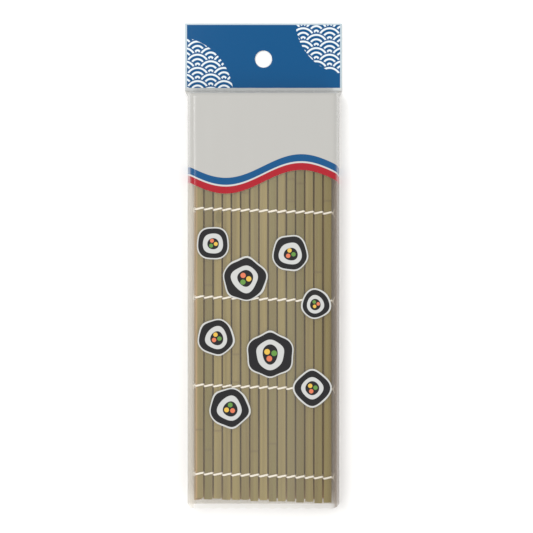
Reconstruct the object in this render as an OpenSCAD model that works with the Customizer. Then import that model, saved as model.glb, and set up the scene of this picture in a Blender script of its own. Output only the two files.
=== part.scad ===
// A sushi rolling mat folded in three inside its film header bag.
// The mat lies flat: X across the slats, Y along them towards the header, Z up.

/* [Slats] */
// Length of one bamboo slat
slat_l = 240; // [150:1:300]
// Width of one slat
slat_w = 4.65; // [3.5:0.05:6]
// Thickness of one slat
slat_t = 2; // [1.5:0.1:2.6]
// Clear gap between two slats, where the cords cross
slat_gap = 0.8; // [0.76:0.02:1.2]
// Number of slats in the bottom and in the middle leaf, each without its fold slat
leaf_slats = 14; // [8:1:20]
// Bevel along the skin side's edges
skin_bevel = 0.4; // [0.2:0.05:0.6]
// Bevel along the back's edges
back_bevel = 0.15; // [0.05:0.05:0.3]
// How far the slat ends stand out of line with each other
end_scatter = 0.35; // [0:0.05:0.5]

/* [Folds] */
// Lean of the slat that turns the mat over at each fold, in degrees
fold_lean = 33; // [25:1:40]
// Skew of the top leaf's rows, in degrees
row_skew = 2; // [0:0.1:2.5]
// Droop of the last slat at the top leaf's free edge, in degrees
edge_droop = 2; // [0:0.5:2]
// Clearance of a fold's hinge line from the slat faces
fold_clear = 0.4; // [0.4:0.05:0.6]

/* [Cords] */
// Diameter of one cord strand
cord_d = 0.7; // [0.4:0.05:0.72]
// Number of rows of cord
cord_rows = 5; // [3:1:5]
// Distance of the outer rows from the slat ends
row_inset = 15; // [8:0.5:30]
// Gap between a strand and the slat face that it crosses
cord_clear = 0.08; // [0.05:0.01:0.15]
// Gap between the two strands where they cross
strand_gap = 0.2; // [0.1:0.05:0.4]
// Diameter of the knot that ends a row
knot_d = 1.5; // [1:0.1:2]

/* [Bag] */
// Thickness of one film
film_t = 0.3; // [0.2:0.05:0.5]
// Clearance between the film and the mat in it
bag_clear = 0.35; // [0.3:0.05:1]
// Spare film beyond each side of the mat
side_slack = 3.4; // [3:0.1:6]
// Length of film beyond the slats at the open mouth
mouth_slack = 2.7; // [1:0.1:10]
// Length over which the bag tapers down to the seal
shoulder_l = 3.4; // [2:0.1:10]

/* [Header] */
// Length of the header from the seal to its top
header_l = 39; // [30:0.5:60]
// How far the header stands out past each side of the bag
header_lap = 1.525; // [1:0.025:10]
// Thickness of one header film
header_t = 0.4; // [0.3:0.05:0.6]
// Radius of the hang hole
hole_r = 5.2; // [3:0.1:6]
// Distance of the hang hole's centre from the header's top
hole_drop = 21.5; // [12:0.5:24]
// Width of the heat seal between bag and header
seal_w = 1.8; // [1:0.1:4]
// Number of ribs pressed into the seal
seal_ribs = 60; // [20:1:80]

/* [Hidden] */
$fn = 48;
pitch = slat_w + slat_gap;
half_t = slat_t / 2;
leaf_n = round(leaf_slats);       // a whole number of slats, whatever is typed
fold_a = leaf_n;                  // index of the right fold's slat
fold_b = 2 * leaf_n + 1;          // index of the left fold's slat
slat_count = 3 * leaf_n + 3;      // the top leaf has one slat more
last = slat_count - 1;
inner_off = half_t + fold_clear;  // hinge lines of a fold lie this far from mid thickness
leaf_rise = 2 * inner_off + pitch * sin(fold_lean);
top_w = (leaf_n + 1) * pitch;

row_step = (slat_l - 2 * row_inset) / (cord_rows - 1);

cord_r = cord_d / 2;
cord_off = half_t + cord_clear + cord_r;       // a strand's centre from mid thickness
cord_out = cord_off + cord_r;                  // a strand's outer side from mid thickness
strand_off = (cord_d + strand_gap) / 2;        // strands at a crossing, off the row's line
cord_sides = 6;

floor_z = film_t + bag_clear + cord_out;       // mid thickness of the bottom leaf
top_z = floor_z + 2 * leaf_rise;               // mid thickness of the top leaf
bag_h = top_z + cord_out + bag_clear + film_t; // outer height of the bag
side_lean = 2;                                 // how far a side leans in before its corner
corner_in = 3.4;                               // width of the rounded corner
corner_drop = 3.8;                             // height of the rounded corner
bag_half = top_w / 2 + side_slack + 1.7;       // half width of the bag at the floor

header_w = 2 * (bag_half + header_lap);

skew_rise = tan(row_skew) * top_w / 2;
end_play = skew_rise + end_scatter;            // the furthest that a slat end stands out
body_l = mouth_slack + slat_l + 2 * end_play;
tube_l = body_l + 0.6;
total_l = tube_l + shoulder_l + seal_w + header_l;
mouth_y = -total_l / 2;
mat_y = mouth_y + mouth_slack + end_play + slat_l / 2;
tube_top = mouth_y + tube_l;
seal_y = tube_top + shoulder_l;
header_y = seal_y + seal_w;
header_top = header_y + header_l;

BAMBOO = [0.62, 0.57, 0.36];
COTTON = [0.93, 0.89, 0.80];
FILM = [0.86, 0.85, 0.82, 0.35];
INK = [0.02, 0.33, 0.57];

function slat_name(k) = str("slat_", k < 9 ? "0" : "", k + 1);
function row_name(i) = str("cord_row_", i + 1);

// Turn of the mat at the gap before slat k, counter-clockwise seen along +Y's far end
function bend(k) = k == fold_a ? fold_lean
    : k == fold_a + 1 ? 180 - fold_lean
    : k == fold_b ? -fold_lean
    : k == fold_b + 1 ? fold_lean - 180
    : k == last ? -edge_droop : 0;
// Distance of the hinge line from mid thickness at that gap: a fold turns about its inner side
function hinge_off(k) = bend(k) == 0 || k == last ? 0 : sign(bend(k)) * inner_off;

function along(a) = [cos(a), sin(a)];
function normal(a) = [-sin(a), cos(a)];
// Place of the gap before slat k as [x, z, angle], stepping from slat to slat
function next_gap(g, k) = let(
        end = [g[0], g[1]] + pitch * along(g[2]),
        axis = end + hinge_off(k) * normal(g[2]),
        a = g[2] + bend(k),
        start = axis - hinge_off(k) * normal(a))
    [start[0], start[1], a];
function walk(g, k) = k > last ? [g] : concat([g], walk(next_gap(g, k), k + 1));
gaps = walk([-top_w / 2, floor_z, 0], 1);

// Point in slat k's own frame: s from its starting gap, n off mid thickness towards the skin
function on_slat(k, s, n) =
    [gaps[k][0], gaps[k][1]] + s * along(gaps[k][2]) + n * normal(gaps[k][2]);
// Shift of slat k along Y: only the top leaf is skewed
function skew_y(k) = k <= fold_b ? 0 : -tan(row_skew) * on_slat(k, pitch / 2, 0)[0];
function scatter(k) = end_scatter * sin(k * 147 + 40);

slat_outline = [
    [-slat_w / 2, -half_t + back_bevel], [-slat_w / 2 + back_bevel, -half_t],
    [slat_w / 2 - back_bevel, -half_t], [slat_w / 2, -half_t + back_bevel],
    [slat_w / 2, half_t - skin_bevel], [slat_w / 2 - skin_bevel, half_t - 0.1],
    [slat_w / 5, half_t], [-slat_w / 5, half_t],
    [-slat_w / 2 + skin_bevel, half_t - 0.1], [-slat_w / 2, half_t - skin_bevel]];

module slat(k) {
    centre = on_slat(k, pitch / 2, 0);
    color(BAMBOO)
        translate([centre[0], mat_y + skew_y(k) + scatter(k), centre[1]])
            rotate([90, -gaps[k][2], 0])
                linear_extrude(height = slat_l, center = true) polygon(slat_outline);
}

// Tube along points, mitred at each bend, with rings that start from the Y direction
function unit(v) = v / norm(v);
function leg(pts, i) = unit(pts[min(i + 1, len(pts) - 1)] - pts[min(i, len(pts) - 2)]);
function mitre(pts, i) = i == 0 ? leg(pts, 0)
    : i == len(pts) - 1 ? leg(pts, i) : unit(leg(pts, i - 1) + leg(pts, i));
function ring(pts, i) = let(
        d = leg(pts, max(i - 1, 0)), t = mitre(pts, i),
        u = unit([0, 1, 0] - d * d[1]), v = cross(d, u))
    [for (j = [0:cord_sides - 1]) let(
        a = 360 * (j + 0.5) / cord_sides,
        r = cord_r * (cos(a) * u + sin(a) * v))
        pts[i] + r - d * ((r * t) / (d * t))];
module tube(pts) {
    n = len(pts);
    m = cord_sides;
    rings = [for (i = [0:n - 1]) each ring(pts, i)];
    sides = [for (i = [0:n - 2], j = [0:m - 1]) let(
            a = i * m + j, b = i * m + (j + 1) % m)
        each [[a, b, b + m], [a, b + m, a + m]]];
    caps = [for (j = [1:m - 2])
        each [[0, j + 1, j], [(n - 1) * m, (n - 1) * m + j, (n - 1) * m + j + 1]]];
    polyhedron(rings, concat(sides, caps));
}

// One strand: over every other slat and under the next, crossing its twin in each gap
function face_of(k, side) = side * (k % 2 == 0 ? 1 : -1);
function strand_point(k, side, end, y) = let(
        f = face_of(k, side),
        p = on_slat(k, end ? pitch : 0, f * cord_off))
    [p[0], y + skew_y(k) + (end ? f : -f) * strand_off, p[1]];
function strand_tip(k, side, end, y) = let(
        f = face_of(k, side),
        p = on_slat(k, end ? pitch : 0, f * cord_r))
    [p[0], y + skew_y(k) + (end ? f : -f) * strand_off, p[1]];
function strand(side, y) = concat([strand_tip(0, side, false, y)],
    [for (k = [0:last], end = [false, true]) strand_point(k, side, end, y)],
    [strand_tip(last, side, true, y)]);
function row_y(i) = mat_y + (i - (cord_rows - 1) / 2) * row_step;
module cord_row(i) {
    color(COTTON) for (side = [-1, 1]) tube(strand(side, row_y(i)));
}

module edge_knots(k, end) {
    reach = cord_r + knot_d / 2 + 0.02;
    p = on_slat(k, end ? pitch + reach : -reach, 0);
    color(COTTON) for (i = [0:cord_rows - 1])
        translate([p[0], row_y(i) + skew_y(k), p[1]]) sphere(d = knot_d);
}

// Half of the bag's section from its foot to its crown; the crown is level over the mat
function bag_side(inset) = [
    [bag_half - inset, inset == 0 ? film_t : film_t - 1],
    [bag_half - side_lean / 2 - inset, 0.42 * bag_h],
    [bag_half - side_lean - inset, bag_h - corner_drop],
    [bag_half - side_lean - 0.4 * corner_in - inset, bag_h - 0.24 * corner_drop - inset * 0.6],
    [bag_half - side_lean - corner_in - inset, bag_h - inset]];
function bag_outline(inset) = concat(bag_side(inset),
    [for (i = [4:-1:0]) [-bag_side(inset)[i][0], bag_side(inset)[i][1]]]);
module bag_solid(inset) {
    reach = tube_l + (inset == 0 ? 0 : 1);
    translate([0, tube_top, 0]) rotate([90, 0, 0])
        linear_extrude(height = reach) polygon(bag_outline(inset));
    hull() {
        translate([0, tube_top, 0]) rotate([90, 0, 0])
            linear_extrude(height = 0.1) polygon(bag_outline(inset));
        translate([-header_w / 2 + inset, seal_y - 0.1 - inset, film_t - (inset == 0 ? 0 : 1)])
            cube([header_w - 2 * inset, 0.1, inset == 0 ? film_t : 1]);
    }
}
module bag_front() {
    color(FILM) difference() {
        bag_solid(0);
        bag_solid(film_t);
    }
}
module bag_back() {
    color(FILM) translate([-bag_half, mouth_y, 0]) cube([2 * bag_half, seal_y - mouth_y, film_t]);
}

module header_film(z) {
    difference() {
        translate([-header_w / 2, header_y, z]) cube([header_w, header_l, header_t]);
        translate([0, header_top - hole_drop, z - 1]) cylinder(h = header_t + 2, r = hole_r);
    }
}
module header_back() { color(FILM) header_film(0); }
module header_front() { color(INK) header_film(header_t); }
module header_seal() {
    rib_step = header_w / seal_ribs;
    color(FILM) union() {
        translate([-header_w / 2, seal_y, 0]) cube([header_w, seal_w, 2 * header_t]);
        for (i = [0:seal_ribs - 1])
            translate([-header_w / 2 + (i + 0.25) * rib_step, seal_y + 0.2, 2 * header_t - 0.05])
                cube([rib_step / 2, seal_w - 0.4, 0.15]);
    }
}

for (k = [0:last]) slat(k);
for (i = [0:cord_rows - 1]) cord_row(i);
edge_knots(0, false);  // bottom_edge_knots
edge_knots(last, true);  // top_edge_knots
bag_back();
bag_front();
header_back();
header_front();
header_seal();
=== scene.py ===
# %% [markdown]
# # A sushi rolling mat in its header bag
# The real object is a bamboo mat, folded in three and packed in a clear bag with
# a printed header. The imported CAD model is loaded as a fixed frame, so every new
# piece is made in place. Slats, cords, knots and the front film are made here in
# mesh code. The flat films keep their CAD shape and only get a finish.

# %% The frame
import math
import random

import bmesh
import bpy
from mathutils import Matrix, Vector


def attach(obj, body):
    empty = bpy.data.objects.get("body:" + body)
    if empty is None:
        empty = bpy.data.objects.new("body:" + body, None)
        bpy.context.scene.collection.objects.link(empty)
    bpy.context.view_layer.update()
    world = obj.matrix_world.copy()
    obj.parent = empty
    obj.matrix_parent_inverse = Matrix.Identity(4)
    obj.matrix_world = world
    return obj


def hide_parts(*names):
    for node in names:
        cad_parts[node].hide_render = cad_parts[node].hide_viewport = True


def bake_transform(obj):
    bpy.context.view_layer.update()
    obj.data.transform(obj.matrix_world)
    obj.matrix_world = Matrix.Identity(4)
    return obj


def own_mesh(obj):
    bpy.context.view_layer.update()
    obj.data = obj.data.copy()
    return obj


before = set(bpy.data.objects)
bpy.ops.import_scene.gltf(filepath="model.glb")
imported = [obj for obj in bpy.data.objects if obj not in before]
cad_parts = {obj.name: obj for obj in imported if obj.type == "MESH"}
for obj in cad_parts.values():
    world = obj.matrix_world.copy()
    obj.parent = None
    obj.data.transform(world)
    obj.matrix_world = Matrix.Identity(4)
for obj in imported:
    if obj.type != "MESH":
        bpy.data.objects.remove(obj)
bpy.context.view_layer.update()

# %% [markdown]
# ## Sizes
# A real mat is cut and laced to a few sizes, and all else follows from them. They
# could be measured on the loaded frame, but named values are easier to read. They
# are those of the part's source, in millimetres, because this file can't read
# that one. `MM` turns them into Blender's metres.

# %% Sizes
MM = 0.001
PITCH = 5.45                    # from one slat to the next
HALF_L = 120                    # half a slat's length
FIRST_X, FLOOR_Z = -40.875, 2.43
MAT_Y = -21.05                  # the middle of the slats
FOLD_A, FOLD_B, COUNT = 14, 29, 45
LEAN, SKEW, DROOP = 33.0, 2.0, 2.0
INNER = 1.4                     # a fold's hinge line, off mid thickness
ROWS = [MAT_Y + (i - 2) * 52.5 for i in range(5)]
print("rows of cord at y", ROWS)

# %% [markdown]
# ## The folded chain
# The real mat is one strip that turns over twice. It could be posed flat and
# folded with bones, but stepping from slat to slat gives exact places at once.
# Each slat has a starting gap: a place and an angle, turned at the two folds.

# %% The folded chain


def bend(k):
    """Turn of the mat in degrees at the gap before slat k."""
    turns = {FOLD_A: LEAN, FOLD_A + 1: 180 - LEAN, FOLD_B: -LEAN, FOLD_B + 1: LEAN - 180,
             COUNT - 1: -DROOP}
    return turns.get(k, 0)


def step(x, z, a, s, n):
    """The point s along and n off a slat that starts at x, z with angle a."""
    c, d = math.cos(math.radians(a)), math.sin(math.radians(a))
    return x + s * c - n * d, z + s * d + n * c


gaps = [(FIRST_X, FLOOR_Z, 0.0)]
for k in range(1, COUNT):
    turn = bend(k)
    off = 0 if turn == 0 or k == COUNT - 1 else math.copysign(INNER, turn)
    hx, hz = step(*gaps[-1], PITCH, off)
    angle = gaps[-1][2] + turn
    sx, sz = step(hx, hz, angle, 0, -off)
    gaps.append((sx, sz, angle))


def skew(k):
    """Shift of slat k along Y: only the top leaf is skewed."""
    if k <= FOLD_B:
        return 0.0
    return -math.tan(math.radians(SKEW)) * step(*gaps[k], PITCH / 2, 0)[0]


def at(k, s, n, y):
    """Row-frame point in metres, from slat k's own s, n and Y in millimetres."""
    x, z = step(*gaps[k], s, n)
    return Vector((x, y + skew(k), z)) * MM


def body_name(k):
    """The CAD body that carries slat k."""
    if k < FOLD_A:
        return "bottom_leaf"
    if k == FOLD_A:
        return "right_fold"
    if k < FOLD_B:
        return "middle_leaf"
    if k == FOLD_B:
        return "left_fold"
    return f"slat_{k + 1:02d}_body"


print("last slat starts at", gaps[-1])

# %% [markdown]
# ## Camera
# The photo looks straight down, so the camera isn't turned. A short lens would
# show the bag's sides lean outwards. A long one, 85 mm, shows little of them, and
# the height makes the package fill about the same share of the picture.

# %% Camera
camera = bpy.data.objects.new("camera", bpy.data.cameras.new("camera"))
camera.data.lens, camera.data.sensor_width = 85, 36
camera.location = (0.0018, -0.0017, 0.7635)
bpy.context.scene.collection.objects.link(camera)
bpy.context.scene.camera = camera
bpy.context.scene.view_settings.view_transform = "Standard"
print("camera at", tuple(camera.location))

# %% [markdown]
# ## Lights
# A studio photo like this has broad, soft light. A sun lamp or a picture of a
# studio could light it, but one casts hard shadows and the other needs a file.
# Two square area lights give a weak direction from the upper left, enough to
# model slats and creases.

# %% Lights


def area_light(name, place, size, watts, target=(0, 0, 0)):
    """A soft square light that faces the target."""
    lamp = bpy.data.objects.new(name, bpy.data.lights.new(name, "AREA"))
    lamp.data.size, lamp.data.energy = size, watts
    lamp.location = place
    lamp.rotation_euler = (Vector(target) - Vector(place)).to_track_quat("-Z", "Y").to_euler()
    bpy.context.scene.collection.objects.link(lamp)


area_light("key", (-0.45, 0.3, 0.9), 0.5, 4.0)
area_light("fill", (0.6, -0.3, 0.7), 0.5, 1.6)
print("two area lights")

# %% [markdown]
# ## White surroundings
# The photo's ground is pure white. Stronger lamps could burn it white, but they
# would bleach the object too. So the camera sees a pure white world, and a
# slightly weaker and warmer white lights the object. The Light Path node tells
# the two apart.

# %% White surroundings
world = bpy.data.worlds.new("white")
bpy.context.scene.world = world
world.use_nodes = True
wt = world.node_tree
sky, lit = wt.nodes["Background"], wt.nodes.new("ShaderNodeBackground")
sky.inputs["Color"].default_value = (1, 1, 1, 1)
sky.inputs["Strength"].default_value = 1.0
lit.inputs["Color"].default_value = (1, 0.99, 0.97, 1)
lit.inputs["Strength"].default_value = 0.8
path, mix = wt.nodes.new("ShaderNodeLightPath"), wt.nodes.new("ShaderNodeMixShader")
wt.links.new(path.outputs["Is Camera Ray"], mix.inputs[0])
wt.links.new(lit.outputs[0], mix.inputs[1])
wt.links.new(sky.outputs[0], mix.inputs[2])
wt.links.new(mix.outputs[0], wt.nodes["World Output"].inputs["Surface"])
print("world", world.name)

# %% [markdown]
# ## Maths in materials
# Patterns here are formulas of position. They could be painted as images, but
# those blur and need files. `Field` wraps a node socket, so that a formula in
# Python becomes a chain of Math nodes, sharp at any size.

# %% Field helper


class Field:
    """A value in a node tree that can be added, multiplied and compared."""

    def __init__(self, tree, socket):
        self.tree, self.socket = tree, socket

    def op(self, kind, *others):
        """One Math node with this value first."""
        node = self.tree.nodes.new("ShaderNodeMath")
        node.operation = kind
        for i, value in enumerate((self, *others)):
            if isinstance(value, Field):
                self.tree.links.new(value.socket, node.inputs[i])
            else:
                node.inputs[i].default_value = value
        return Field(self.tree, node.outputs[0])

    def __add__(self, other):
        return self.op("ADD", other)

    def __sub__(self, other):
        return self.op("SUBTRACT", other)

    def __mul__(self, other):
        return self.op("MULTIPLY", other)

    def __truediv__(self, other):
        return self.op("DIVIDE", other)

    def __neg__(self):
        return self * -1

    def __abs__(self):
        return self.op("ABSOLUTE")

    def sine(self):
        """The sine of this value."""
        return self.op("SINE")

    def floor(self):
        """The whole number at or below this value."""
        return self.op("FLOOR")

    def mod(self, other):
        """What is left over, never below zero."""
        return self.op("FLOORED_MODULO", other)

    def most(self, other):
        """The larger of two values."""
        return self.op("MAXIMUM", other)

    def clamped(self):
        """This value, held between 0 and 1."""
        self.socket.node.use_clamp = True
        return self

    def inside(self, soft=0.1):
        """1 where this distance is below zero, with an edge that is soft mm wide."""
        return (self * (-1 / soft) + 0.5).clamped()


def length(a, b):
    """Distance from two offsets."""
    return (a * a + b * b).op("SQRT")


print("Field is ready")

# %% [markdown]
# ## Material helpers
# Every finish starts from the Principled shader, with plain constants set on its
# sockets. The same few links could be written out in each material. Helpers that
# mix colours, read attributes and add a bump keep the materials short.

# %% Material helpers


def colour_mix(tree, mask, a, b):
    """Colour a where the mask is 0 and b where it is 1."""
    node = tree.nodes.new("ShaderNodeMix")
    node.data_type = "RGBA"
    for socket, value in ((node.inputs[0], mask), (node.inputs[6], a), (node.inputs[7], b)):
        if isinstance(value, Field):
            tree.links.new(value.socket, socket)
        else:
            socket.default_value = (*value, 1)
    return Field(tree, node.outputs[2])


def position(tree):
    """x, y and z in millimetres."""
    coords = tree.nodes.new("ShaderNodeTexCoord").outputs["Object"]
    split = tree.nodes.new("ShaderNodeSeparateXYZ")
    tree.links.new(coords, split.inputs[0])
    return [Field(tree, split.outputs[i]) * 1000 for i in range(3)]


def attribute(tree, name):
    """A mesh attribute as a value."""
    node = tree.nodes.new("ShaderNodeAttribute")
    node.attribute_name = name
    return Field(tree, node.outputs["Fac"])


def material(name, **constants):
    """A new Principled material: (material, tree, shader)."""
    mat = bpy.data.materials.new(name)
    mat.use_nodes = True
    shader = mat.node_tree.nodes["Principled BSDF"]
    for socket, value in constants.items():
        shader.inputs[socket.replace("_", " ")].default_value = value
    return mat, mat.node_tree, shader


def bump(tree, shader, height, strength, distance):
    """Feeds a height in 0 to 1 to the shader's normal."""
    node = tree.nodes.new("ShaderNodeBump")
    node.inputs["Strength"].default_value = strength
    node.inputs["Distance"].default_value = distance
    tree.links.new(height.socket, node.inputs["Height"])
    tree.links.new(node.outputs[0], shader.inputs["Normal"])


print("material helpers are ready")

# %% [markdown]
# ## Shared effects
# An effect that several materials use is a node group, built once and placed in
# each with its own values. Stretched noise is the first: bamboo grain, cotton
# fuzz and film haze are all noise that is drawn out more one way than another.

# %% Stretched noise group


def new_group(name, inputs, output):
    """A shader node group with named input sockets and one value out."""
    group = bpy.data.node_groups.new(name, "ShaderNodeTree")
    for label, kind in inputs:
        group.interface.new_socket(label, in_out="INPUT", socket_type=kind)
    group.interface.new_socket(output, in_out="OUTPUT", socket_type="NodeSocketFloat")
    return group, group.nodes.new("NodeGroupInput"), group.nodes.new("NodeGroupOutput")


def use_group(tree, group, **values):
    """Places a group in a material's tree and returns its output."""
    node = tree.nodes.new("ShaderNodeGroup")
    node.node_tree = group
    for label, value in values.items():
        if isinstance(value, Field):
            tree.links.new(value.socket, node.inputs[label])
        else:
            node.inputs[label].default_value = value
    return Field(tree, node.outputs[0])


stretched_noise, put_in, put_out = new_group("stretched_noise", [
    ("Scale", "NodeSocketFloat"), ("Detail", "NodeSocketFloat"),
    ("Stretch", "NodeSocketVector")], "Value")
warp = stretched_noise.nodes.new("ShaderNodeVectorMath")
warp.operation = "MULTIPLY"
place = stretched_noise.nodes.new("ShaderNodeTexCoord")
texture = stretched_noise.nodes.new("ShaderNodeTexNoise")
for source, target in ((place.outputs["Object"], warp.inputs[0]),
                       (put_in.outputs["Stretch"], warp.inputs[1]),
                       (warp.outputs[0], texture.inputs["Vector"]),
                       (put_in.outputs["Scale"], texture.inputs["Scale"]),
                       (put_in.outputs["Detail"], texture.inputs["Detail"]),
                       (texture.outputs[0], put_out.inputs["Value"])):
    stretched_noise.links.new(source, target)


def noise(tree, scale, detail, stretch=(1, 1, 1)):
    """The noise group with these values, 0 to 1."""
    return use_group(tree, stretched_noise, Scale=scale, Detail=detail, Stretch=stretch)


print("group", stretched_noise.name)

# %% [markdown]
# ## Bamboo
# Split bamboo keeps its green skin on one side, with fine grain along the slat.
# Its sides and back are tan flesh, and a dark line crosses it at each node of the
# cane. A picture of bamboo could be wrapped round, but it would repeat on 45 slats.
# Attributes on the mesh say where skin and nodes are, because those follow the
# shape, and stretched noise adds the grain. One slat has a dark blotch.

# %% Bamboo
SKIN_DARK, SKIN_PALE = (0.15, 0.13, 0.038), (0.38, 0.29, 0.105)
SKIN_BAND = (0.21, 0.18, 0.05)
FLESH_DARK, FLESH_PALE = (0.42, 0.24, 0.10), (0.66, 0.45, 0.23)
STREAK, GRAIN = (0.16, 0.12, 0.04), (0.15, 0.11, 0.05)
NODE_LINE, BLOTCH = (0.10, 0.06, 0.03), (0.10, 0.085, 0.02)
TOP_LEAF_Z = 13.5                # only the top leaf is above this

bamboo, tree, shader = material("bamboo", Roughness=0.5, Specular_IOR_Level=0.35)
x, y, z = position(tree)
tint, skin, joint_line = (attribute(tree, n) for n in ("tint", "skin", "cane_node"))
fine = noise(tree, 1100, 5, (1, 0.015, 1))
broad = noise(tree, 60, 2, (1, 0.15, 1))
green = colour_mix(tree, tint, SKIN_DARK, SKIN_PALE)
green = colour_mix(tree, broad * 0.6, green, SKIN_BAND)
flesh = colour_mix(tree, fine, FLESH_DARK, FLESH_PALE)
streaks = noise(tree, 420, 3, (1, 0.02, 1))
base = colour_mix(tree, skin, flesh, green)
base = colour_mix(tree, ((streaks - 0.42) * 3.0).clamped(), base, STREAK)
base = colour_mix(tree, fine * 0.5, base, GRAIN)
base = colour_mix(tree, joint_line * 0.5, base, NODE_LINE)
blotch = (length((x + 26.6) / 2.0, (y - 27.5) / 3.8) - 1).inside(0.35)
on_top_leaf = (-z + TOP_LEAF_Z).inside()
base = colour_mix(tree, blotch * on_top_leaf * 0.55, base, BLOTCH)
tree.links.new(base.socket, shader.inputs["Base Color"])
bump(tree, shader, fine, 0.35, 0.0002)
print("material", bamboo.name, "with", len(tree.nodes), "nodes")

# %% [markdown]
# ## Cotton
# The cords are unbleached cotton, matt and slightly fuzzy. Hair would be the true
# way to make the fuzz, but at this size it would cost more than it shows. Fine
# noise varies the cream colour and roughens the surface, and a little sheen
# stands for loose fibres.

# %% Cotton
CREAM_DARK, CREAM_PALE = (0.80, 0.73, 0.60), (0.97, 0.93, 0.85)

cotton, tree, shader = material("cotton", Roughness=0.9, Sheen_Weight=0.3)
fuzz = noise(tree, 2500, 3)
shade = colour_mix(tree, fuzz, CREAM_DARK, CREAM_PALE)
tree.links.new(shade.socket, shader.inputs["Base Color"])
bump(tree, shader, fuzz, 0.5, 0.0001)
print("material", cotton.name)

# %% [markdown]
# ## Floor
# The photo has almost no shadow, only a faint one beside the bag. A shadow catcher
# could give that, but a plain white floor just under the bag is simpler.

# %% Floor
ground, tree, shader = material("ground", Roughness=1.0)
shader.inputs["Base Color"].default_value = (1, 1, 1, 1)
bpy.ops.mesh.primitive_plane_add(size=6, location=(0, 0, -0.0002))
floor = bpy.context.object
floor.name = "floor"
floor.data.materials.append(ground)
print("floor at", floor.location.z)

# %% [markdown]
# ## Mesh helpers
# Slats, strands and film are all lofts: rings of points joined by faces. Extruding
# with operators would give the same shapes, but here each ring's place comes from
# the folded chain. One helper joins rings, and another finishes the object.

# %% Mesh helpers


def loft(bm, rings, closed=True, capped=True):
    """Faces between rings of points, and across the first and the last ring."""
    grid = [[bm.verts.new(p) for p in ring] for ring in rings]
    m = len(grid[0])
    for a, b in zip(grid, grid[1:]):
        for j in range(m if closed else m - 1):
            bm.faces.new((a[j], a[(j + 1) % m], b[(j + 1) % m], b[j]))
    if capped:
        bm.faces.new(grid[0][::-1])
        bm.faces.new(grid[-1])
    return grid


def add_piece(bm, name, mat, smooth=True):
    """A bmesh as a finished object in the row frame."""
    bmesh.ops.recalc_face_normals(bm, faces=bm.faces)
    mesh = bpy.data.meshes.new(name)
    bm.to_mesh(mesh)
    bm.free()
    mesh.materials.append(mat)
    mesh.polygons.foreach_set("use_smooth", [smooth] * len(mesh.polygons))
    obj = bpy.data.objects.new(name, mesh)
    bpy.context.scene.collection.objects.link(obj)
    return obj


print("mesh helpers are ready")

# %% [markdown]
# ## Slats
# A slat is a split, planed strip of bamboo with its edges taken off. A box with a
# bevel would look machined. This loft follows a bevelled outline whose width
# wanders a little and swells at the cane's nodes, where extra rings carry the
# dark line. The first slat of the top leaf shows its tan cut edge, as in the photo.

# %% Slats
OUTLINE = [(-2.325, -0.85), (-2.175, -1.0), (2.175, -1.0), (2.325, -0.85), (2.325, 0.55),
           (2.2, 0.8), (1.9, 0.92), (0.9, 1.0), (-0.9, 1.0), (-1.9, 0.92), (-2.2, 0.8),
           (-2.325, 0.55)]
NODE_RINGS = (-2, -1, -0.4, 0, 0.4, 1, 2)    # extra rings around a cane node
RING_STEP = 8                    # between plain rings
CANE_REACH = 105                 # cane nodes lie within this of the middle
SWELL_W, LINE_W = 1.2, 0.5       # reach of a node's swelling and of its dark line
WIDE, WANDER, WIDEN = 0.99, 0.008, 0.008
THICK, THICKEN = 0.985, 0.012
SKIN_Z, CUT_X = 0.75, -1.5       # where the skin starts, and the cut edge ends
END_SCATTER = 0.35


def make_slat(k):
    """Slat k, with its tint and its one or two cane nodes."""
    rng = random.Random(700 + k)
    cane = [rng.uniform(-CANE_REACH, CANE_REACH) for _ in range(rng.choice((1, 1, 2)))]
    lines = sorted({round(v, 2) for v in [-HALF_L + i * RING_STEP for i in range(31)]
                    + [c + d for c in cane for d in NODE_RINGS]})
    phase, tone = rng.uniform(0, 6.28), rng.uniform(0, 1)
    scatter = END_SCATTER * math.sin(math.radians(k * 147 + 40))
    bm = bmesh.new()
    tint, skin, cane_node = [bm.verts.layers.float.new(n)
                             for n in ("tint", "skin", "cane_node")]
    rings = []
    for v in lines:
        swell = sum(math.exp(-((v - c) / SWELL_W) ** 2) for c in cane)
        wide = WIDE + WANDER * math.sin(v * 0.045 + phase) + WIDEN * swell
        thick = THICK + THICKEN * swell
        rings.append([at(k, PITCH / 2 + px * wide, pz * thick, MAT_Y + scatter + v)
                      for px, pz in OUTLINE])
    for v, ring in zip(lines, loft(bm, rings)):
        line = max(math.exp(-((v - c) / LINE_W) ** 2) for c in cane)
        for (px, pz), vert in zip(OUTLINE, ring):
            cut_edge = k == FOLD_B + 1 and px < CUT_X
            vert[tint] = tone
            vert[skin] = 1.0 if pz > SKIN_Z and not cut_edge else 0.0
            vert[cane_node] = line * (1.0 if abs(px) < 2.3 else 0.6)
    obj = add_piece(bm, f"bamboo_slat_{k + 1:02d}", bamboo, smooth=False)
    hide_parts(f"slat_{k + 1:02d}")
    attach(obj, body_name(k))


for k in range(COUNT):
    make_slat(k)
print("slats", COUNT)

# %% [markdown]
# ## A twisted strand
# The cord is two plies twisted together. Two separate helices would double the
# mesh for a detail of half a millimetre. One tube with two lobes that turn along
# it gives the same look.

# %% A twisted strand
SIDES, LOBE, TWIST = 10, 0.16, 4.6


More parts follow.
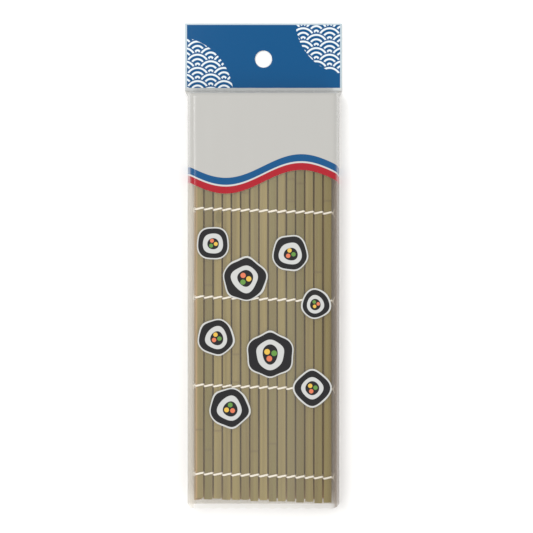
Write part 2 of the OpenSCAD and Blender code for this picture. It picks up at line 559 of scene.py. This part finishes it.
def strand_tube(bm, points, radii):
    """A twisted tube along points, in metres."""
    rings, run = [], 0.0
    for i, p in enumerate(points):
        ahead = points[min(i + 1, len(points) - 1)] - points[max(i - 1, 0)]
        d = ahead.normalized()
        u = (Vector((0, 1, 0)) - d * d.y).normalized()
        v = d.cross(u)
        run += (p - points[i - 1]).length / MM if i else 0.0
        rings.append([p + MM * radii[i] * (1 + LOBE * math.cos(2 * (t - TWIST * run)))
                      * (math.cos(t) * u + math.sin(t) * v)
                      for t in (j * math.tau / SIDES for j in range(SIDES))])
    loft(bm, rings)


print("strand tube is ready")

# %% [markdown]
# ## Stitches
# On the real mat two strands cross in each gap and pass over and under every slat
# by turns. Each could be one long bevelled curve, but that couldn't follow the top
# leaf when it rolls up. So each body gets its own piece, and strands meet their
# neighbours at the gap's middle, which is the hinge line.

# %% Stitches
STRAND_OFF = 0.45                # off the row's line where strands cross
TOP_LIFT, BACK_LIFT = 1.5, 1.4   # off mid thickness over a slat
GAP_R, TOP_GROW, BACK_GROW = 0.38, 0.22, 0.06
RISE_L = 0.7
STEPS = 18
CORD_NODES = [f"cord_row_{i}" for i in range(1, 6)]


def stitch(bm, k, f, row):
    """The strand on one face of slat k: f is 1 on the skin side and -1 on the back."""
    points, radii = [], []
    for i in range(STEPS + 1):
        s = PITCH * i / STEPS
        rise = min(1.0, min(s, PITCH - s) / RISE_L)
        rise = rise * rise * (3 - 2 * rise)
        y = row + f * STRAND_OFF * math.sin(math.pi * (i / STEPS - 0.5))
        points.append(at(k, s, f * (TOP_LIFT if f > 0 else BACK_LIFT) * rise, y))
        radii.append(GAP_R + (TOP_GROW if f > 0 else BACK_GROW) * rise)
    strand_tube(bm, points, radii)


bodies = {}
for k in range(COUNT):
    bodies.setdefault(body_name(k), []).append(k)
for body, slats in bodies.items():
    bm = bmesh.new()
    for k in slats:
        for row in ROWS:
            for face in (1, -1):
                stitch(bm, k, face, row)
    obj = add_piece(bm, f"cords_{body}", cotton)
    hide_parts(*CORD_NODES)
    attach(obj, body)
print("stitched bodies", len(bodies))

# %% [markdown]
# ## Cords round the folds
# At a fold the hinge line lies off the slats, so the strands bend round outside
# it. They could be left out, but the mat would look cut through there. Each short
# bend is a fixed piece in the row frame, tied to neither of its two bodies.

# %% Cords round the folds
BEND_R, BULGE, BEND_STEPS = 0.34, 0.3, 6

for k in (FOLD_A, FOLD_A + 1, FOLD_B, FOLD_B + 1):
    bm = bmesh.new()
    outward = 1 if k <= FOLD_A + 1 else -1
    for row in ROWS:
        for side in (1, -1):
            y = row + side * STRAND_OFF
            a, b = at(k - 1, PITCH, 0, y), at(k, 0, 0, y)
            out = outward * BULGE * MM
            points = [a.lerp(b, t) + Vector((out * math.sin(math.pi * t), 0, 0))
                      for t in (i / BEND_STEPS for i in range(BEND_STEPS + 1))]
            strand_tube(bm, points, [BEND_R] * len(points))
    obj = add_piece(bm, f"cord_bends_{k + 1:02d}", cotton)
    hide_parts(*CORD_NODES)
    start, end = at(k - 1, PITCH, 0, 0), at(k, 0, 0, 0)
    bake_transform(obj)
print("cord pieces", len(bodies) + 4)

# %% [markdown]
# ## Knots
# Each row ends in an overhand knot, which is a trefoil curve with two cut tails.
# A bead would be simpler, but the trefoil shows the cord passing over itself.

# %% Knots
KNOT_R, KNOT_SIZE, KNOT_H, LOOP_STEPS = 0.24, 0.2, 0.22, 48
REACH = 0.75                     # the trefoil is pressed flat towards the edge
TAIL_STEPS, TAIL_R = 8, 0.32     # a tail frays a little at its end
TAIL_FROM, TAIL_OUT, TAIL_DOWN, TAIL_SIDE = 0.3, 0.16, 0.1, 0.35


def knot(bm, k, s, away, row):
    """One knot past the edge of slat k, with tails along the edge."""
    loop = []
    for i in range(LOOP_STEPS + 1):
        t = math.tau * i / LOOP_STEPS
        reach = KNOT_SIZE * (2.2 + math.sin(t) + 2 * math.sin(2 * t)) * REACH
        across = KNOT_SIZE * (math.cos(t) - 2 * math.cos(2 * t))
        loop.append(at(k, s + away * reach, -KNOT_H * math.sin(3 * t), row + across))
    strand_tube(bm, loop, [KNOT_R] * len(loop))
    for sign in (1, -1):
        tail = [at(k, s + away * (TAIL_FROM + TAIL_OUT * i), -TAIL_DOWN * i,
                   row + sign * TAIL_SIDE * i) for i in range(TAIL_STEPS)]
        strand_tube(bm, tail, [KNOT_R] * (TAIL_STEPS - 1) + [TAIL_R])


for name, k, s, away, body in (("bottom", 0, -0.2, -1, "bottom_leaf"),
                               ("top", COUNT - 1, PITCH + 0.2, 1, body_name(COUNT - 1))):
    bm = bmesh.new()
    for row in ROWS:
        knot(bm, k, s, away, row)
    obj = add_piece(bm, f"{name}_knots", cotton)
    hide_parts(f"{name}_edge_knots")
    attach(obj, body)
print("knots", 2 * len(ROWS))

# %% [markdown]
# ## Print colours and scallops
# The film is printed in blue, red, white and black, with a traditional pattern of
# overlapping arcs. The arcs could be rings of mesh, but a print has no thickness.
# In a formula, a point belongs to the nearest arc in front of it, so two rows of
# circles are tested and the front one wins.

# %% Print colours and scallops
BLUE, RED = (0.0, 0.08, 0.23), (0.40, 0.008, 0.02)
WHITE, BLACK = (0.60, 0.61, 0.60), (0.012, 0.012, 0.014)
SALMON, LEAF, EGG = (0.75, 0.2, 0.1), (0.13, 0.3, 0.06), (0.78, 0.5, 0.08)


def scallops(x, y, r):
    """Traditional overlapping arcs: 1 on their lines."""
    h = r / 2
    row = (y / h).floor()
    d = []
    for back in (1, 0):
        line = row - back
        shift = line.mod(2) * r
        dx = (x + shift).mod(2 * r) - r
        d.append(length(dx, y - line * h))
    near = (d[0] - r).inside(0.02)
    dist = d[1] + near * (d[0] - d[1])
    return (abs(dist.mod(r / 3) - r / 6) - r * 0.07).inside(0.12)


print("scallops are ready")

# %% [markdown]
# ## Film
# Thin clear film shows as haze, creases and a grey edge where it turns down the
# bag's side. A glass shader would bend the view of the mat, which so thin a film
# doesn't do. Alpha is used: low where the film is bare, and nearly 1 under print.
# The veil is a group, because every film uses it.

# %% Film
# The film's extra opacity on its right side is painted shade, away from the key light.
SIDE_X, RIGHT_X = 41.5, 42.5       # where the sides, and the darker right side, begin
SIDE_VEIL, PAINTED_SHADE_OPACITY = 0.42, 0.25
HAZE, PRINT_ALPHA = 0.12, 0.96

film_veil, put_in, put_out = new_group("film_veil", [
    ("Haze", "NodeSocketFloat"), ("Clear", "NodeSocketFloat"),
    ("Cover", "NodeSocketFloat")], "Alpha")
x, y, z = position(film_veil)
haze, clear, cover = (Field(film_veil, put_in.outputs[n]) for n in ("Haze", "Clear", "Cover"))
edge = (-abs(x) + SIDE_X).inside(3.0) * SIDE_VEIL
# Painted shade: the film grows more opaque along its right side.
edge = edge + (-x + RIGHT_X).inside(2.0) * PAINTED_SHADE_OPACITY
veil = edge + haze * HAZE + clear
alpha = veil + cover * (-veil + PRINT_ALPHA)
film_veil.links.new(alpha.socket, put_out.inputs["Alpha"])


def film_finish(name, printed, clear_alpha, gloss=0.6):
    """A film: printed(tree, x, y) gives its colour and how much is covered."""
    mat, tree, shader = material(name, Roughness=0.16, Specular_IOR_Level=gloss)
    haze = noise(tree, 28, 3, (1, 0.25, 1))
    colour, cover = printed(tree, *position(tree)[:2])
    tree.links.new(colour.socket, shader.inputs["Base Color"])
    alpha = use_group(tree, film_veil, Haze=haze, Clear=clear_alpha, Cover=cover)
    tree.links.new(alpha.socket, shader.inputs["Alpha"])
    bump(tree, shader, haze, 0.3, 0.0006)
    return mat


print("group", film_veil.name)

# %% [markdown]
# ## The front film's print
# A pale panel ends in a wave with blue, white and red bands, and cut rolls are
# scattered below it. Flat meshes just above the film could carry the print, but
# they would have to follow its creases. Masks lie in the film itself. Each one is
# a distance: bands are distances from the wave, and a roll is rings round a
# centre, made slightly uneven by two sines.

# %% The front film's print
WAVE_Y, WAVE_H, WAVE_K = 58, 7, 0.07
BANDS = (0, 4.2, 5.2, 9.4)         # where panel, blue, white and red end below it
PANEL = (0.50, 0.495, 0.475)
# The first tone is the bare film's own pale colour, and the second is painted shade for its
# right side.
LEFT_TONE, RIGHT_PAINTED_SHADE = (0.80, 0.74, 0.64), (0.24, 0.19, 0.15)    # of the bare film
ROLLS = [(-30, 12, 9), (-11, -9, 12), (16, 6, 10), (31, -24, 8), (-28, -44, 10), (4, -54, 13),
         (29, -74, 10), (-20, -86, 11)]


def front_print(tree, x, y):
    """Panel, wave border and rolls on the front film."""
    wave = (x * WAVE_K).sine() * WAVE_H + WAVE_Y
    low = -y + wave
    panel, blue, white, red = ((low - v).inside() for v in BANDS)
    cover = red
    # Painted shade: the bare film fades from its pale tone to dark brown towards the right.
    colour = colour_mix(tree, (x - 30).inside(26), RIGHT_PAINTED_SHADE, LEFT_TONE)
    colour = colour_mix(tree, red, colour, RED)
    colour = colour_mix(tree, white, colour, WHITE)
    colour = colour_mix(tree, blue, colour, BLUE)
    colour = colour_mix(tree, panel, colour, PANEL)
    for cx, cy, r in ROLLS:
        wobble = ((x * 0.55 + cy).sine() + (y * 0.5 + cx).sine()) * (r * 0.035)
        d = length(x - cx, y - cy) + wobble
        disc = (d - (r + 0.9)).inside()
        cover = cover.most(disc)
        for limit, tone in ((0.9, WHITE), (0, BLACK), (-r * 0.34, WHITE), (-r * 0.6, BLACK)):
            colour = colour_mix(tree, (d - (r + limit)).inside(), colour, tone)
        for turn, tone in ((0.5, SALMON), (2.6, LEAF), (4.7, EGG)):
            fx, fy = cx + r * 0.19 * math.cos(turn + cx), cy + r * 0.19 * math.sin(turn + cx)
            bit = length(x - fx, y - fy) - r * 0.13
            colour = colour_mix(tree, bit.inside(), colour, tone)
    return colour, cover


front_film = film_finish("front_film", front_print, 0.05, 0.35)
print("material", front_film.name, "with", len(ROLLS), "rolls")

# %% [markdown]
# ## The flat films
# The header is a blue sheet with scallops in two corners and a pale rim. The back
# film is bare and the seal is frosted by its ribs. Each could be made again here,
# but all are flat, and the CAD shapes already have the hole and the ribs. So they
# stay and only take these finishes.

# %% The flat films
HEADER_TOP = 145.527
PLAIN, FROST, RIM = (0.80, 0.77, 0.71), (0.60, 0.62, 0.62), (0.50, 0.60, 0.66)
ARC_LINE = (0.80, 0.86, 0.90)
FANS = ((-52, -46, 34), (50, 4, 31))    # where scallops show: x, y and radius
RIM_X, RIM_H = 46.4, 0.8


def header_print(tree, x, y):
    """Blue ground, with scallops in two corners and a pale rim."""
    v = y - HEADER_TOP
    arcs = scallops(x, y, 8.0)
    left, right = [(length(x - fx, (v - fy) * 0.9) - r).inside() for fx, fy, r in FANS]
    colour = colour_mix(tree, arcs * left.most(right), BLUE, ARC_LINE)
    rim = (-(abs(x) - RIM_X).most(-abs(v) + RIM_H)).inside()
    colour = colour_mix(tree, rim, colour, RIM)
    return colour, x * 0 + 1


def bare(tree, x, y):
    """No print."""
    return colour_mix(tree, x * 0, PLAIN, PLAIN), x * 0


def seal_print(tree, x, y):
    """Frosted where the ribs are pressed in."""
    return colour_mix(tree, x * 0, FROST, FROST), x * 0 + 0.45


for node, mat in (("bag_back", film_finish("back_film", bare, 0.25)),
                  ("header_front", film_finish("header_ink", header_print, 0.2, 0.25)),
                  ("header_back", film_finish("header_clear", bare, 0.4)),
                  ("header_seal", film_finish("seal_film", seal_print, 0.4))):
    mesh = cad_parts[node].data
    mesh.materials.clear()
    mesh.materials.append(mat)
    print(node, "wears", mat.name)

# %% [markdown]
# ## The front film
# On the real bag this is one thin sheet, drawn over the mat and down to the seal,
# with soft creases. A cloth simulation could drape it, but it lies so tight that
# a loft with small waves is enough, and its distance from the slats is known. It
# is in two halves, both carried by the bag's body.

# %% The front film
BAG_HALF, BAG_H, FILM = 45.975, 16.397, 0.3
MOUTH_Y, TUBE_TOP, SEAL_Y = -145.527, 101.327, 104.727
CORNER, CROWN_Z = 5.4, BAG_H - 0.1      # where the rounded side meets the flat top
CROWN_STEP, CROWN_STEPS = 1.5, 54
TUBE_STEPS, SHOULDER_STEPS = 110, 6
SLACK, MOUTH_WAVE = 0.18, 0.3
CREASES = ((0.55, 0.03), (0.23, -0.11))  # two waves, each across and along the film
FLARE, SEAL_LIFT = 0.032, 0.25          # at the seal: a little wider, and off the back
SIDE = [(0, FILM), (0.25, 0.16 * BAG_H), (0.6, 0.3 * BAG_H), (1.0, 0.42 * BAG_H),
        (1.5, 0.58 * BAG_H), (2.0, BAG_H - 3.8), (2.6, BAG_H - 2.0), (3.4, BAG_H - 0.9),
        (4.4, BAG_H - 0.3), (CORNER, CROWN_Z)]
SPLIT, OUTSIDE = -6.0, 50               # the halves meet at SPLIT


def front_half(name, lo, hi):
    """The part of the film with x from lo to hi."""
    half = [(BAG_HALF - dx, z) for dx, z in SIDE]
    crown = [(BAG_HALF - CORNER - CROWN_STEP * i, CROWN_Z) for i in range(1, CROWN_STEPS)]
    section = half + crown + [(-v, z) for v, z in half[::-1]]
    cut = [p for p in section if lo < p[0] < hi]
    if lo > -OUTSIDE:
        cut = cut + [(lo, CROWN_Z)]
    else:
        cut = [(hi, CROWN_Z)] + cut
    stations = [i / TUBE_STEPS for i in range(TUBE_STEPS + 1)]
    stations += [1 + i / SHOULDER_STEPS for i in range(1, SHOULDER_STEPS + 1)]
    rings = []
    for t in stations:
        close = max(t - 1, 0)
        y = MOUTH_Y + min(t, 1) * (TUBE_TOP - MOUTH_Y) + close * (SEAL_Y - TUBE_TOP)
        ring = []
        for px, pz in cut:
            crease = 0.5
            for across, along in CREASES:
                crease += 0.25 * math.sin(px * across + y * along)
            slack = SLACK * crease * (1 - close) * min(1, (pz - FILM) / 4)
            nz = FILM + (pz - FILM - slack) * (1 - close) + SEAL_LIFT * close
            nx = px * (1 + close * FLARE)
            ragged = MOUTH_WAVE + MOUTH_WAVE * math.sin(px * 0.9) if t == 0 else 0
            ring.append(Vector((nx, y + ragged, nz)) * MM)
        rings.append(ring)
    bm = bmesh.new()
    loft(bm, rings, closed=False, capped=False)
    obj = add_piece(bm, name, front_film)
    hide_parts("bag_front")
    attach(obj, "bag")
    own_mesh(obj)


front_half("front_film_left", -OUTSIDE, SPLIT)
front_half("front_film_right", SPLIT, OUTSIDE)
print("front film in two halves")
